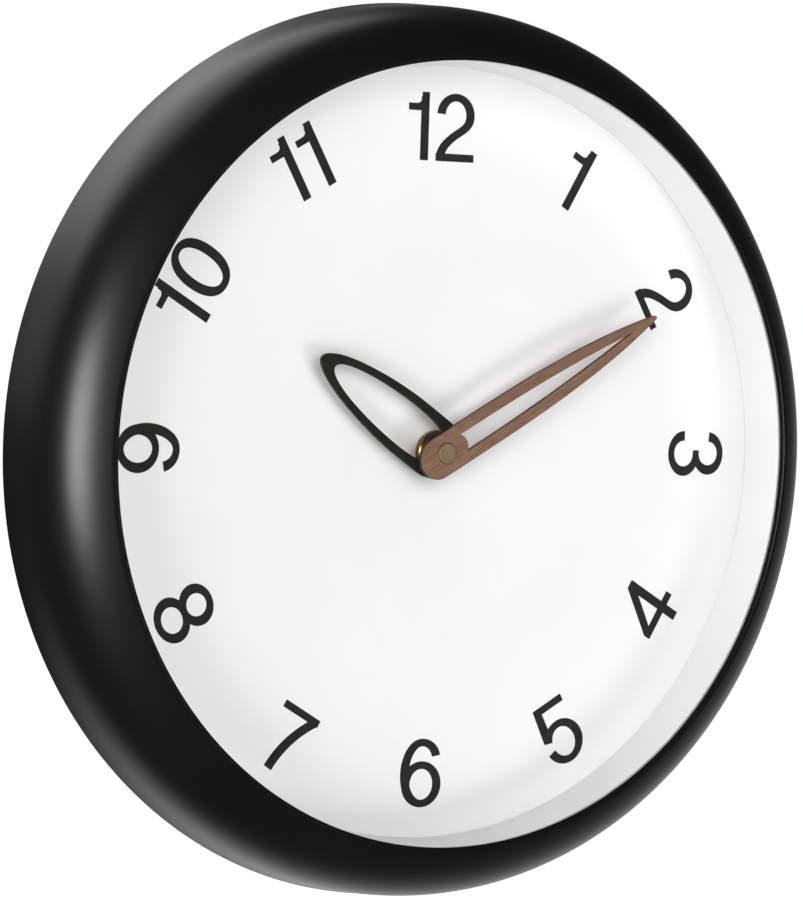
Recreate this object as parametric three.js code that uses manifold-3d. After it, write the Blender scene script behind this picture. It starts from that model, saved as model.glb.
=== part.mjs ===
// Round analogue wall clock with a battery quartz movement, built as separate pieces.
// Millimetres. Origin: the hand axis at the dial's front face. The dial faces -Y, 12 o'clock is +Z.
import * as THREE from "three";
import { mergeVertices } from "three/addons/utils/BufferGeometryUtils.js";
import Module from "manifold-3d";

const wasm = await Module();
wasm.setup();

const TAU = 2 * Math.PI;
const DEG = Math.PI / 180;

// ---------------------------------------------------------------- driving dimensions

const CASE_R = 150; // widest radius, at the wall
const HALF_DEPTH = 20.2; // from the dial face to the wall, and from it to the lip's crest
const LIP_R = 130.9; // radius of the lip's crest
const LIP_IN_R = 129.5; // inner edge of the lip
const WALL = 3; // thickness of the case's outer wall
const CASE_FRONT_REACH = 21.5; // how far the front's curve aims outwards from the lip
const CASE_FRONT_DROP = 10.6; // and how far rearwards
const CASE_SIDE_TUCK = 2.6; // how far inside its widest radius the side's curve aims
const CASE_SIDE_Y = 5;
const COLLAR_R = 131.1; // inner face of the collar that holds glass and dial
const COLLAR_WALL = 2.8;
const SEAT_GAP = 0.1; // between pieces that rest on each other
const ROUND = 72; // sides of the large turned pieces

const GLASS_R = 130.8;
const GLASS_FRONT = -19.4;
const GLASS_T = 1.2;

const DIAL_R = 138.2;
const DIAL_T = 1.5;
const STRIP_IN_R = 128.5; // the white strip's inner radius at the dial, and at the glass
const STRIP_IN_R_FRONT = 129.35;
const STRIP_OUT_R = 130.3;

const COVER_R = 146;
const COVER_FRONT = 16;
const COVER_T = 2;
const COVER_SCREWS = 6;
const COVER_SCREW_R = 142.2;
const DIAL_SCREWS = 4;
const DIAL_SCREW_R = 136;
const COVER_SCREW_TURN = 30; // direction of the first screw, in degrees
const DIAL_SCREW_TURN = 45;

const HOUR_ANGLE = 303.3; // clockwise from 12, where the hands stand at rest
const MINUTE_ANGLE = 60.2;
const HOUR_FRONT = -4.9;
const HOUR_T = 1.3;
const MINUTE_FRONT = -8.2;
const MINUTE_T = 1.6;
const TUBE_R = 2.5; // hour wheel's tube
const ARBOR_R = 1.6; // minute arbor
const STUD_R = 4; // threaded stud through the dial
const NUT_R = 7.56;
const NUT_T = 3;
const CAP_R = 3.4;
const CAP_T = 0.6;

const MOVE = 56; // side of the square movement
const MOVE_FRONT = 2.6;
const MOVE_BACK = 18.6;
const MOVE_SPLIT = 8; // where the two halves of its case meet
const MOVE_WALL = 1.2;
const BAY_TOP = -11; // height of the wall between the wheels and the battery bay
const BAY_Z = -19.3;
const CELL_R = 7.1;
const CELL_L = 49.5;

const GAP = 0.3; // between neighbours that touch on the real clock
const THROUGH = 30; // depth or width that takes a cut right out of a piece

// Wheels of the movement: centre distances, tooth counts and places on the wheel plane
const MOTION_A = 10; // cannon pinion to minute wheel, and minute wheel to setting pinion
const TRAIN_A = 9; // centre line to third wheel, and centre line to intermediate wheel
const ROTOR_A = 6;
const CANNON_Z = 10;
const MINUTE_WHEEL_Z = 30;
const MINUTE_PINION_Z = 8;
const HOUR_Z = 32;
const CENTRE_Z = 48;
const THIRD_Z = 45;
const SECONDS_Z = 36;
const INTERMEDIATE_Z = 30;
const PINION_Z = 6;
const MINUTE_WHEEL_DIR = 20; // directions in degrees, counter-clockwise from +X as seen from the front
const KNOB_DIR = -10;
const THIRD_DIR = 150;
const INTERMEDIATE_DIR = 80;
const ROTOR_DIR = 60;

// ---------------------------------------------------------------- helpers

// A closed geometry as a manifold-3d solid, and back.
function solid(geometry) {
  const g = geometry.index ? geometry.toNonIndexed() : geometry.clone();
  g.deleteAttribute("normal");
  g.deleteAttribute("uv");
  const merged = mergeVertices(g, 1e-4);
  return new wasm.Manifold(
    new wasm.Mesh({
      numProp: 3,
      vertProperties: merged.attributes.position.array,
      triVerts: new Uint32Array(merged.index.array),
    }),
  );
}

function shell(manifold) {
  const mesh = manifold.getMesh();
  const geometry = new THREE.BufferGeometry();
  geometry.setAttribute("position", new THREE.BufferAttribute(mesh.vertProperties, 3));
  geometry.setIndex(new THREE.BufferAttribute(mesh.triVerts, 1));
  const flat = geometry.toNonIndexed();
  flat.computeVertexNormals();
  return flat;
}

const cut = (base, ...tools) =>
  shell(tools.reduce((left, tool) => left.subtract(solid(tool)), solid(base)));
const join = (base, ...more) =>
  shell(more.reduce((sum, piece) => sum.add(solid(piece)), solid(base)));

// A body of revolution about the Y axis, from (radius, y) points that run rearwards along the
// outside and come back along the inside or the axis.
function turned(points, sides = ROUND) {
  return new THREE.LatheGeometry(
    points.map(([r, y]) => new THREE.Vector2(r, y)),
    sides,
  );
}

// A flat plate: an outline in X and Z as seen from the front, from y = front to y = back.
function plate(shape, front, back, sides = 3) {
  const flat = new THREE.ExtrudeGeometry(shape, {
    depth: back - front,
    bevelEnabled: false,
    curveSegments: sides,
  });
  return flat.rotateX(Math.PI / 2).translate(0, back, 0);
}

function circle(r, x = 0, z = 0, sides = 12, Path = THREE.Path) {
  const points = [];
  for (let i = 0; i < sides; i++) {
    const a = (i * TAU) / sides;
    points.push(new THREE.Vector2(x + r * Math.cos(a), z + r * Math.sin(a)));
  }
  return new Path(points);
}

function disc(r, front, back, x = 0, z = 0, sides = 24) {
  return turned([[0, front], [r, front], [r, back], [0, back]], sides).translate(x, 0, z);
}

function washer(rOut, rIn, front, back, sides = 24) {
  return turned(
    [[rIn, front], [rOut, front], [rOut, back], [rIn, back], [rIn, front]],
    sides,
  );
}

function block(x0, x1, front, back, z0, z1) {
  return new THREE.BoxGeometry(x1 - x0, back - front, z1 - z0).translate(
    (x0 + x1) / 2,
    (front + back) / 2,
    (z0 + z1) / 2,
  );
}

function roundedRect(x0, x1, z0, z1, r, Path = THREE.Shape) {
  const shape = new Path();
  shape.moveTo(x0 + r, z0);
  shape.lineTo(x1 - r, z0);
  shape.absarc(x1 - r, z0 + r, r, -TAU / 4, 0, false);
  shape.lineTo(x1, z1 - r);
  shape.absarc(x1 - r, z1 - r, r, 0, TAU / 4, false);
  shape.lineTo(x0 + r, z1);
  shape.absarc(x0 + r, z1 - r, r, TAU / 4, TAU / 2, false);
  shape.lineTo(x0, z0 + r);
  shape.absarc(x0 + r, z0 + r, r, TAU / 2, (3 * TAU) / 4, false);
  return shape;
}

const polar = (r, degrees, x = 0, z = 0) => [
  x + r * Math.cos(degrees * DEG),
  z + r * Math.sin(degrees * DEG),
];

// Places spread evenly round a circle.
const spread = (count, r, first) =>
  Array.from({ length: count }, (_, i) => polar(r, first + (i * 360) / count));

// ---------------------------------------------------------------- the assembly

const clock = new THREE.Group();

function add(name, geometry, color, roughness = 0.6, metalness = 0) {
  const mesh = new THREE.Mesh(
    geometry,
    new THREE.MeshStandardMaterial({ color, roughness, metalness }),
  );
  mesh.name = name;
  clock.add(mesh);
  return mesh;
}

const BLACK = 0x1b1b1c;
const WHITE = 0xf3f3f1;
const BRASS = 0xb08d4a;
const STEEL = 0xb9bcc0;
const NYLON = 0xdedbd0;

// ---------------------------------------------------------------- case

// The outer wall sweeps from the lip over the side to the wall as one cubic curve. The inner face
// is a curve of the same kind: at the lip it lies deeper than the wall's thickness.
function outerWall(inset) {
  return new THREE.CubicBezierCurve(
    new THREE.Vector2(LIP_R, -HALF_DEPTH + inset * 1.6),
    new THREE.Vector2(LIP_R + CASE_FRONT_REACH - inset, -HALF_DEPTH + CASE_FRONT_DROP + inset * 0.9),
    new THREE.Vector2(CASE_R - CASE_SIDE_TUCK - inset, CASE_SIDE_Y),
    new THREE.Vector2(CASE_R - inset, HALF_DEPTH),
  );
}

const coverScrews = spread(COVER_SCREWS, COVER_SCREW_R, COVER_SCREW_TURN);
const dialScrews = spread(DIAL_SCREWS, DIAL_SCREW_R, DIAL_SCREW_TURN);

function caseRim() {
  const outside = outerWall(0).getPoints(9);
  const inside = outerWall(WALL).getPoints(5).reverse();
  const collarOut = COLLAR_R + COLLAR_WALL;
  const hollow = inside.filter((p) => p.x > collarOut + 1);
  const ledge = GLASS_FRONT - SEAT_GAP;
  const ring = turned([
    [LIP_IN_R, ledge],
    [LIP_IN_R, ledge - 0.3],
    [LIP_IN_R + 0.6, -HALF_DEPTH + 0.15],
    ...outside.map((p) => [p.x, p.y]),
    ...hollow.map((p) => [p.x, p.y]),
    [collarOut, hollow[hollow.length - 1].y + 1],
    [collarOut, -GAP],
    [COLLAR_R, -GAP],
    [COLLAR_R, ledge],
    [LIP_IN_R, ledge],
  ]);
  const bosses = [
    ...coverScrews.map(([x, z]) => disc(3.5, -2, COVER_FRONT - GAP, x, z, 12)),
    ...dialScrews.map(([x, z]) => disc(3, -10, -GAP, x, z, 12)),
  ];
  const holes = [
    ...coverScrews.map(([x, z]) => disc(1.4, 4, THROUGH, x, z, 8)),
    ...dialScrews.map(([x, z]) => disc(1.3, -8, THROUGH, x, z, 8)),
  ];
  return cut(join(ring, ...bosses), ...holes);
}
add("case_rim", caseRim(), BLACK, 0.42);

add("glass_lens", disc(GLASS_R, GLASS_FRONT, GLASS_FRONT + GLASS_T, 0, 0, ROUND), 0xdfeeee, 0.05);

// The white strip between glass and dial is one band, butted at 12 o'clock.
const STRIP_FRONT = GLASS_FRONT + GLASS_T + SEAT_GAP;
const strip = turned([
  [STRIP_IN_R_FRONT, STRIP_FRONT],
  [STRIP_OUT_R, STRIP_FRONT],
  [STRIP_OUT_R, -GAP],
  [STRIP_IN_R, -GAP],
  [STRIP_IN_R_FRONT, STRIP_FRONT],
]);
const stripJoint = block(-0.2, 0.2, -THROUGH, 5, STRIP_IN_R - 10, STRIP_OUT_R + 10);
add("inner_ring", cut(strip, stripJoint), WHITE, 0.55);

function dialPlate() {
  const shape = circle(DIAL_R, 0, 0, ROUND, THREE.Shape);
  shape.holes.push(circle(STUD_R + GAP, 0, 0, 24));
  shape.holes.push(...dialScrews.map(([x, z]) => circle(1.3, x, z)));
  return plate(shape, 0, DIAL_T);
}
add("dial_plate", dialPlate(), WHITE, 0.6);

// A pan-head screw with a cross recess. The head's seat is at y = seat, the shank points forwards.
function screw(headR, headT, shankR, length, seat, x, z) {
  const body = turned(
    [
      [0, seat - length],
      [shankR * 0.4, seat - length],
      [shankR, seat - length + shankR],
      [shankR, seat],
      [headR, seat],
      [headR, seat + headT * 0.55],
      [headR * 0.72, seat + headT],
      [0, seat + headT],
    ],
    10,
  );
  const half = headR * 0.55;
  const slot = headR * 0.13;
  const depth = headT * 0.6;
  const cross = [
    block(-half, half, seat + depth, seat + headT + 1, -slot, slot),
    block(-slot, slot, seat + depth, seat + headT + 1, -half, half),
  ];
  return cut(body, ...cross).translate(x, 0, z);
}

dialScrews.forEach(([x, z], i) => {
  const seat = DIAL_T + SEAT_GAP;
  add(`dial_screw_${i + 1}`, screw(2.1, 1.3, 1.1, 8, seat, x, z), STEEL, 0.35, 0.9);
});

// ---------------------------------------------------------------- back cover and hanger

const WINDOW = MOVE / 2 + 1;
const HANGER_Z = 118;
const hangerScrews = [-17, 17]; // their places to either side of the keyhole
const COVER_BACK = COVER_FRONT + COVER_T;
const HANGER_FRONT = COVER_BACK + SEAT_GAP;
const HANGER_T = 0.9;
const HANGER_HALF = 24;
const NAIL_R = 4.6; // round part of the keyhole
const NAIL_SLOT = 2.4; // half width of its slot
const NAIL_RISE = 9; // how far the slot runs up from the round part's centre
const NAIL_RELIEF = 2; // how much wider the cover is cut round the keyhole
const BUMPER = [78, -104];
const BUMPER_R = 6;

// A keyhole: a round hole with a narrow slot that runs up from it.
function keyhole(r, slot, rise, z, Path) {
  const meet = Math.asin(slot / r);
  const shape = new Path();
  shape.absarc(0, z, r, TAU / 4 + meet, TAU / 4 - meet + TAU, false);
  shape.absarc(0, z + rise, slot, 0, TAU / 2, false);
  shape.closePath();
  return shape;
}

function backCover() {
  const shape = circle(COVER_R, 0, 0, ROUND, THREE.Shape);
  shape.holes.push(roundedRect(-WINDOW, WINDOW, -WINDOW, WINDOW, 3, THREE.Path));
  const relief = [NAIL_R + NAIL_RELIEF, NAIL_SLOT + 2.4, NAIL_RISE + 1];
  shape.holes.push(keyhole(...relief, HANGER_Z, THREE.Path));
  shape.holes.push(...coverScrews.map(([x, z]) => circle(1.7, x, z)));
  shape.holes.push(...hangerScrews.map((x) => circle(1.2, x, HANGER_Z)));
  return plate(shape, COVER_FRONT, COVER_BACK);
}
add("back_cover", backCover(), 0x242425, 0.7);

coverScrews.forEach(([x, z], i) => {
  const seat = COVER_BACK + SEAT_GAP;
  add(`cover_screw_${i + 1}`, screw(3, 1.8, 1.2, 11, seat, x, z), STEEL, 0.35, 0.9);
});

function hangerPlate() {
  const shape = roundedRect(-HANGER_HALF, HANGER_HALF, HANGER_Z - 10, HANGER_Z + 16, 5);
  shape.holes.push(keyhole(NAIL_R, NAIL_SLOT, NAIL_RISE, HANGER_Z, THREE.Path));
  shape.holes.push(...hangerScrews.map((x) => circle(1.4, x, HANGER_Z)));
  return plate(shape, HANGER_FRONT, HANGER_FRONT + HANGER_T);
}
add("hanger_plate", hangerPlate(), STEEL, 0.4, 0.9);
hangerScrews.forEach((x, i) => {
  const seat = HANGER_FRONT + HANGER_T + SEAT_GAP;
  add(`hanger_screw_${i + 1}`, screw(2.4, 1, 0.95, 5, seat, x, HANGER_Z), STEEL, 0.35, 0.9);
});

[-1, 1].forEach((side, i) => {
  const front = COVER_BACK + SEAT_GAP;
  const back = HALF_DEPTH - 0.1;
  const edge = [[BUMPER_R, front], [BUMPER_R, back - 0.6], [BUMPER_R - 0.8, back]];
  const pad = turned([[0, front], ...edge, [0, back]], 24);
  add(`bumper_${i + 1}`, pad.translate(side * BUMPER[0], 0, BUMPER[1]), 0x3a3a3a, 0.9);
});

// ---------------------------------------------------------------- hands

// Half width of a leaf that keeps its full width up to u = start and closes at start + length.
const leaf = (u, width, start, length, rise, close = 1) =>
  width * (1 - Math.max(0, (u - start) / length) ** rise) ** close;

// Points (across, along) of a closed outline: a round tail, then both sides of a leaf to its tip.
function leafOutline(tail, half, from, to, steps, blunt) {
  const points = [];
  for (let i = 0; i <= steps; i++) {
    const u = to + (from - to) * (1 - i / steps) ** 1.5;
    points.push([half(u), u]);
  }
  const right = blunt ? points : points.slice(0, -1);
  const left = points.map(([w, u]) => [-w, u]).reverse();
  return [...tail.map(([w, u]) => [-w, u]).reverse(), ...tail, ...right, ...left];
}

function outline(points, Path = THREE.Shape) {
  return new Path(points.map(([across, along]) => new THREE.Vector2(across, along)));
}

// Turns a hand drawn pointing to 12 by an angle clockwise as seen from the front.
const aim = (geometry, degrees) => geometry.rotateY(degrees * DEG);

// Both hands: half widths and places along the hand, counted from the axis. tail is the centre of
// the round tail, slot the half width of the loop's opening and hub the bore for the bush.
const HOUR = {
  width: 10.45,
  tail: 3.9,
  start: 15.6,
  length: 40.9,
  slot: 7.5,
  slotFrom: 3.65,
  slotWidest: 15.5,
  slotBehind: 20.3,
  slotEnd: 50.6,
  hubEdge: 7.03,
  hub: 3.4,
};
const MINUTE = {
  width: 6.8,
  tail: -3.8,
  start: 6.5,
  length: 92.2,
  tip: 95.8,
  slot: 3.1,
  slotFrom: 7.6,
  slotEnd: 84.2,
  hubBulge: 1.4,
  hub: 3.7,
};

// A quarter circle of a hand's tail, from its rear end to its full width.
function quarterTail(radius, centre, steps) {
  const tail = [];
  for (let i = 0; i < steps; i++) {
    const a = (TAU / 4) * (i / steps);
    tail.push([radius * Math.sin(a), centre - radius * Math.cos(a)]);
  }
  return tail.slice(1);
}

function hourHand() {
  const half = (u) => leaf(u, HOUR.width, HOUR.start, HOUR.length, 1.6, 0.52);
  const tail = quarterTail(HOUR.width, HOUR.tail, 8);
  const body = outline(leafOutline(tail, half, HOUR.tail, HOUR.start + HOUR.length, 22, false));
  const behind = (u) => 1 - ((HOUR.slotWidest - u) / HOUR.slotBehind) ** 2;
  const slotHalf = (u) =>
    u < HOUR.slotWidest
      ? HOUR.slot * Math.sqrt(behind(u))
      : leaf(u, HOUR.slot, HOUR.slotWidest, HOUR.slotEnd - HOUR.slotWidest, 1.8, 0.5);
  const corner = Math.atan2(slotHalf(HOUR.slotFrom), HOUR.slotFrom);
  const hub = [];
  for (let i = 1; i < 8; i++) {
    const a = corner * (1 - i / 4);
    hub.push([-HOUR.hubEdge * Math.sin(a), HOUR.hubEdge * Math.cos(a)]);
  }
  const sides = [];
  for (let i = 0; i <= 22; i++) {
    const share = Math.sin((TAU / 4) * (i / 22));
    const u = HOUR.slotFrom + (HOUR.slotEnd - HOUR.slotFrom) * share;
    sides.push([slotHalf(u), u]);
  }
  const back = sides.slice(0, -1).map(([w, u]) => [-w, u]);
  body.holes.push(outline([...hub, ...sides, ...back.reverse()], THREE.Path));
  body.holes.push(circle(HOUR.hub, 0, 0, 24));
  return aim(plate(body, HOUR_FRONT, HOUR_FRONT + HOUR_T), HOUR_ANGLE);
}
add("hour_hand", hourHand(), 0x1d1c1b, 0.55);

function minuteHand() {
  const half = (u) => leaf(u, MINUTE.width, MINUTE.start, MINUTE.length, 3);
  const tail = quarterTail(MINUTE.width, MINUTE.tail, 8);
  const body = outline(leafOutline(tail, half, MINUTE.tail, MINUTE.tip, 22, true));
  const from = MINUTE.slotFrom;
  const slotHalf = (u) => leaf(u, MINUTE.slot, from, MINUTE.slotEnd - from, 2.3);
  const bulge = [];
  for (let i = 1; i < 8; i++) {
    const t = i / 4 - 1;
    bulge.push([MINUTE.slot * t, from + MINUTE.hubBulge * (1 - t * t)]);
  }
  const sides = [];
  for (let i = 0; i <= 18; i++) {
    const u = from + (MINUTE.slotEnd - from) * (i / 18) ** 0.8;
    sides.push([slotHalf(u), u]);
  }
  const back = sides.slice(0, -1).map(([w, u]) => [-w, u]);
  body.holes.push(outline([...bulge, ...sides, ...back.reverse()], THREE.Path));
  body.holes.push(circle(MINUTE.hub, 0, 0, 24));
  return aim(plate(body, MINUTE_FRONT, MINUTE_FRONT + MINUTE_T), MINUTE_ANGLE);
}
add("minute_hand", minuteHand(), 0x8a6650, 0.65);

// Each bush is a sleeve in its hand's hub with a flange on one face of the hand.
function bush(bore, sleeveR, flangeR, sleeveEnd, seat, flangeFace) {
  const outline = [
    [bore, flangeFace],
    [flangeR, flangeFace],
    [flangeR, seat],
    [sleeveR, seat],
    [sleeveR, sleeveEnd],
    [bore, sleeveEnd],
  ];
  const run = sleeveEnd > seat ? outline : outline.reverse();
  return turned([...run, run[0]], 24);
}

const hourBack = HOUR_FRONT + HOUR_T;
add(
  "hour_bush",
  bush(TUBE_R + 0.1, HOUR.hub - 0.2, 4.4, hourBack, HOUR_FRONT - SEAT_GAP, HOUR_FRONT - 0.8),
  BRASS,
  0.4,
  0.9,
);

const minuteBack = MINUTE_FRONT + MINUTE_T;
add(
  "minute_bush",
  bush(ARBOR_R + 0.1, MINUTE.hub - GAP, 5, MINUTE_FRONT + 0.2, minuteBack + SEAT_GAP, minuteBack + 0.6),
  BRASS,
  0.4,
  0.9,
);
const capBack = MINUTE_FRONT + SEAT_GAP;
const capFront = capBack - CAP_T;
const capEdge = [[CAP_R - 0.2, capFront], [CAP_R, capFront + 0.2], [CAP_R, capBack]];
add(
  "hand_cap",
  turned([[0, capFront], ...capEdge, [0, capBack]], 36),
  0x8f7f5c,
  0.45,
  0.9,
);

add(
  "dial_nut",
  turned(
    [
      [STUD_R + 0.15, -NUT_T - 0.1],
      [NUT_R - 0.36, -NUT_T - 0.1],
      [NUT_R, -NUT_T + 0.25],
      [NUT_R, -0.3],
      [NUT_R - 0.26, -0.1],
      [STUD_R + 0.15, -0.1],
      [STUD_R + 0.15, -NUT_T - 0.1],
    ],
    36,
  ),
  BRASS,
  0.3,
  0.95,
);
const dialWasher = washer(9, STUD_R + GAP, DIAL_T + SEAT_GAP, MOVE_FRONT - SEAT_GAP);
add("dial_washer", dialWasher, 0x2b2b2b, 0.9);

const STUD_BORE = 2.9;
const studFlange = MOVE_FRONT + MOVE_WALL + SEAT_GAP;
add(
  "threaded_bush",
  turned(
    [
      [STUD_BORE, -NUT_T - 0.2],
      [STUD_R - 0.3, -NUT_T - 0.2],
      [STUD_R, -NUT_T + 0.1],
      [STUD_R, studFlange],
      [STUD_R + 2, studFlange],
      [STUD_R + 2, studFlange + 0.4],
      [STUD_BORE, studFlange + 0.4],
      [STUD_BORE, -NUT_T - 0.2],
    ],
    24,
  ),
  BRASS,
  0.4,
  0.9,
);

// ---------------------------------------------------------------- wheels

// Module of a pair of wheels from their centre distance.
const moduleOf = (distance, z1, z2) => (2 * distance) / (z1 + z2);

const ADDENDUM = 0.6; // tooth height outside the pitch circle, and depth inside it, in modules
const DEDENDUM = 1.1;
const TIP_HALF = 0.05; // half of a tooth's tip, as a share of the pitch

// A toothed outline with tapered teeth. One tooth is centred on the angle phase, in radians.
function toothed(teeth, module, phase) {
  const pitch = TAU / teeth;
  const tip = module * (teeth / 2 + ADDENDUM);
  const root = module * (teeth / 2 - DEDENDUM);
  const points = [];
  const at = (r, turn) => new THREE.Vector2(r * Math.cos(turn), r * Math.sin(turn));
  for (let i = 0; i < teeth; i++) {
    const a = phase + i * pitch;
    points.push(at(tip, a - TIP_HALF * pitch));
    points.push(at(tip, a + TIP_HALF * pitch));
    points.push(at(root, a + 0.5 * pitch));
  }
  return new THREE.Shape(points);
}

// Phase of a wheel that meshes with another: its gap stands where the other's tooth is.
// The other wheel has its teeth at otherPhase and sees this wheel in the direction line.
function meshPhase(line, otherPhase, otherTeeth, teeth) {
  const otherPitch = TAU / otherTeeth;
  const pitch = TAU / teeth;
  const ahead = (otherPhase - line) / otherPitch;
  return line + TAU / 2 - ahead * pitch + pitch / 2;
}

function wheel(teeth, module, phase, front, back, bore = 0) {
  const shape = toothed(teeth, module, phase);
  if (bore) shape.holes.push(circle(bore, 0, 0, 16));
  return plate(shape, front, back);
}

const PIN_R = 0.5; // the wheels' pivots
const PIN_HOLE_R = 0.58;
const TUBE_BORE = 1.75;
const BASE_FRONT = MOVE_FRONT + 0.3; // where the arbors' front pivots end
const BRIDGE_FRONT = 12.4;
const BRIDGE_T = 0.8;
const PIVOT_BACK = BRIDGE_FRONT + BRIDGE_T;

const [minuteWheelX, minuteWheelZ] = polar(MOTION_A, MINUTE_WHEEL_DIR);
const [knobX, knobZ] = polar(MOTION_A, KNOB_DIR, minuteWheelX, minuteWheelZ);
const [thirdX, thirdZ] = polar(TRAIN_A, THIRD_DIR);
const [interX, interZ] = polar(TRAIN_A, INTERMEDIATE_DIR);
const [rotorX, rotorZ] = polar(ROTOR_A, ROTOR_DIR, interX, interZ);

// Motion work: cannon pinion to minute wheel, and the minute wheel's pinion to the hour wheel.
const cannonModule = moduleOf(MOTION_A, CANNON_Z, MINUTE_WHEEL_Z);
const hourModule = moduleOf(MOTION_A, HOUR_Z, MINUTE_PINION_Z);
const motionLine = MINUTE_WHEEL_DIR * DEG;
const minuteWheelPhase = meshPhase(motionLine, 0, CANNON_Z, MINUTE_WHEEL_Z);
const minutePinionPhase = meshPhase(motionLine, 0, HOUR_Z, MINUTE_PINION_Z);
const knobPhase = meshPhase(KNOB_DIR * DEG, minuteWheelPhase, MINUTE_WHEEL_Z, CANNON_Z);

// Front and rear face of each wheel.
const HOUR_LAYER = [4.4, 5.2];
const MOTION_LAYER = [5.9, 6.7];
const CENTRE_LAYER = [7.6, 8.2];
const THIRD_LAYER = [8.9, 9.5];
const SECONDS_LAYER = [10.1, 10.7];
const INTER_LAYER = [11.3, 11.9];
const ARBOR_BACK = 8.6;
const KNOB_TEETH = 30; // the knurling
const KNOB_MODULE = 0.38;

// A pinion reaches into the wheel that shares its arbor, so that the two are one piece.
const into = (layer) => layer[0] + 0.1;

add(
  "hour_wheel",
  join(
    wheel(HOUR_Z, hourModule, 0, ...HOUR_LAYER, 2),
    washer(TUBE_R, TUBE_BORE, HOUR_FRONT - 0.6, HOUR_LAYER[1], 24),
  ),
  BRASS,
  0.4,
  0.9,
);
add(
  "minute_arbor",
  join(
    wheel(CANNON_Z, cannonModule, 0, ...MOTION_LAYER, 1.2),
    washer(ARBOR_R, 0.8, MINUTE_FRONT + 0.3, ARBOR_BACK, 24),
  ),
  STEEL,
  0.35,
  0.9,
);
add(
  "minute_wheel",
  join(
    wheel(MINUTE_WHEEL_Z, cannonModule, minuteWheelPhase, ...MOTION_LAYER),
    wheel(MINUTE_PINION_Z, hourModule, minutePinionPhase, HOUR_LAYER[0] - 0.1, into(MOTION_LAYER)),
    disc(PIN_R, BASE_FRONT, PIVOT_BACK, 0, 0, 12),
  ).translate(minuteWheelX, 0, minuteWheelZ),
  NYLON,
);
add(
  "setting_knob",
  join(
    wheel(CANNON_Z, cannonModule, knobPhase, MOTION_LAYER[0] - 0.2, MOTION_LAYER[1] + 0.2),
    disc(1.2, MOTION_LAYER[0], MOVE_BACK + 0.3, 0, 0, 16),
    disc(PIN_R, BASE_FRONT, MOTION_LAYER[0], 0, 0, 12),
    wheel(KNOB_TEETH, KNOB_MODULE, 0, MOVE_BACK + 0.2, HALF_DEPTH - 0.2),
  ).translate(knobX, 0, knobZ),
  0xe8e4d8,
);

// Going train: rotor, intermediate wheel, seconds wheel, third wheel, centre wheel.
const thirdModule = moduleOf(TRAIN_A, CENTRE_Z, PINION_Z);
const secondsModule = moduleOf(TRAIN_A, THIRD_Z, PINION_Z);
const interModule = moduleOf(TRAIN_A, SECONDS_Z, PINION_Z);
const rotorModule = moduleOf(ROTOR_A, INTERMEDIATE_Z, PINION_Z);
const thirdLine = THIRD_DIR * DEG;
const interLine = INTERMEDIATE_DIR * DEG;

add("centre_wheel", wheel(CENTRE_Z, thirdModule, 0, ...CENTRE_LAYER, ARBOR_R + 0.1), BRASS, 0.4, 0.9);
const clutchSpring = washer(3.2, ARBOR_R + 0.15, CENTRE_LAYER[1] + SEAT_GAP, ARBOR_BACK - 0.1, 16);
add("clutch_spring", clutchSpring, STEEL, 0.35, 0.9);
add(
  "third_wheel",
  join(
    wheel(THIRD_Z, secondsModule, meshPhase(thirdLine, 0, PINION_Z, THIRD_Z), ...THIRD_LAYER),
    wheel(PINION_Z, thirdModule, meshPhase(thirdLine, 0, CENTRE_Z, PINION_Z), 7.4, into(THIRD_LAYER)),
    disc(PIN_R, BASE_FRONT, PIVOT_BACK, 0, 0, 12),
  ).translate(thirdX, 0, thirdZ),
  NYLON,
);
add(
  "seconds_wheel",
  join(
    wheel(SECONDS_Z, interModule, 0, ...SECONDS_LAYER),
    wheel(PINION_Z, secondsModule, 0, 8.8, into(SECONDS_LAYER)),
    disc(PIN_R, 2, PIVOT_BACK, 0, 0, 12),
  ),
  NYLON,
);
add(
  "intermediate_wheel",
  join(
    wheel(INTERMEDIATE_Z, rotorModule, 0, ...INTER_LAYER),
    wheel(PINION_Z, interModule, meshPhase(interLine, 0, SECONDS_Z, PINION_Z), 9.9, into(INTER_LAYER)),
    disc(PIN_R, BASE_FRONT, PIVOT_BACK, 0, 0, 12),
  ).translate(interX, 0, interZ),
  NYLON,
);
const MAGNET = [13.9, 16];
const MAGNET_R = 2.3;
add(
  "rotor",
  join(
    wheel(
      PINION_Z,
      rotorModule,
      meshPhase(ROTOR_DIR * DEG, 0, INTERMEDIATE_Z, PINION_Z),
      INTER_LAYER[0] - 0.3,
      INTER_LAYER[1] + 0.2,
    ),
    disc(PIN_R, BASE_FRONT, 16.6, 0, 0, 12),
    disc(MAGNET_R, ...MAGNET, 0, 0, 20),
  ).translate(rotorX, 0, rotorZ),
  0x4a4a4c,
);

// The bridge carries the rear pivots. It stands on two posts of the movement's front half.
const POSTS = [
  [-18.5, -6.5],
  [21, 17],
];
const offAxisPivots = [
  [minuteWheelX, minuteWheelZ],
  [thirdX, thirdZ],
  [interX, interZ],
  [rotorX, rotorZ],
];
function trainBridge() {
  const shape = roundedRect(-21, 24, -9.5, 20, 3);
  shape.holes.push(...[[0, 0], ...offAxisPivots].map(([x, z]) => circle(PIN_HOLE_R, x, z)));
  shape.holes.push(circle(1.6, knobX, knobZ));
  return plate(shape, BRIDGE_FRONT, BRIDGE_FRONT + BRIDGE_T);
}
add("train_bridge", trainBridge(), NYLON);

// ---------------------------------------------------------------- motor and circuit

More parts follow.
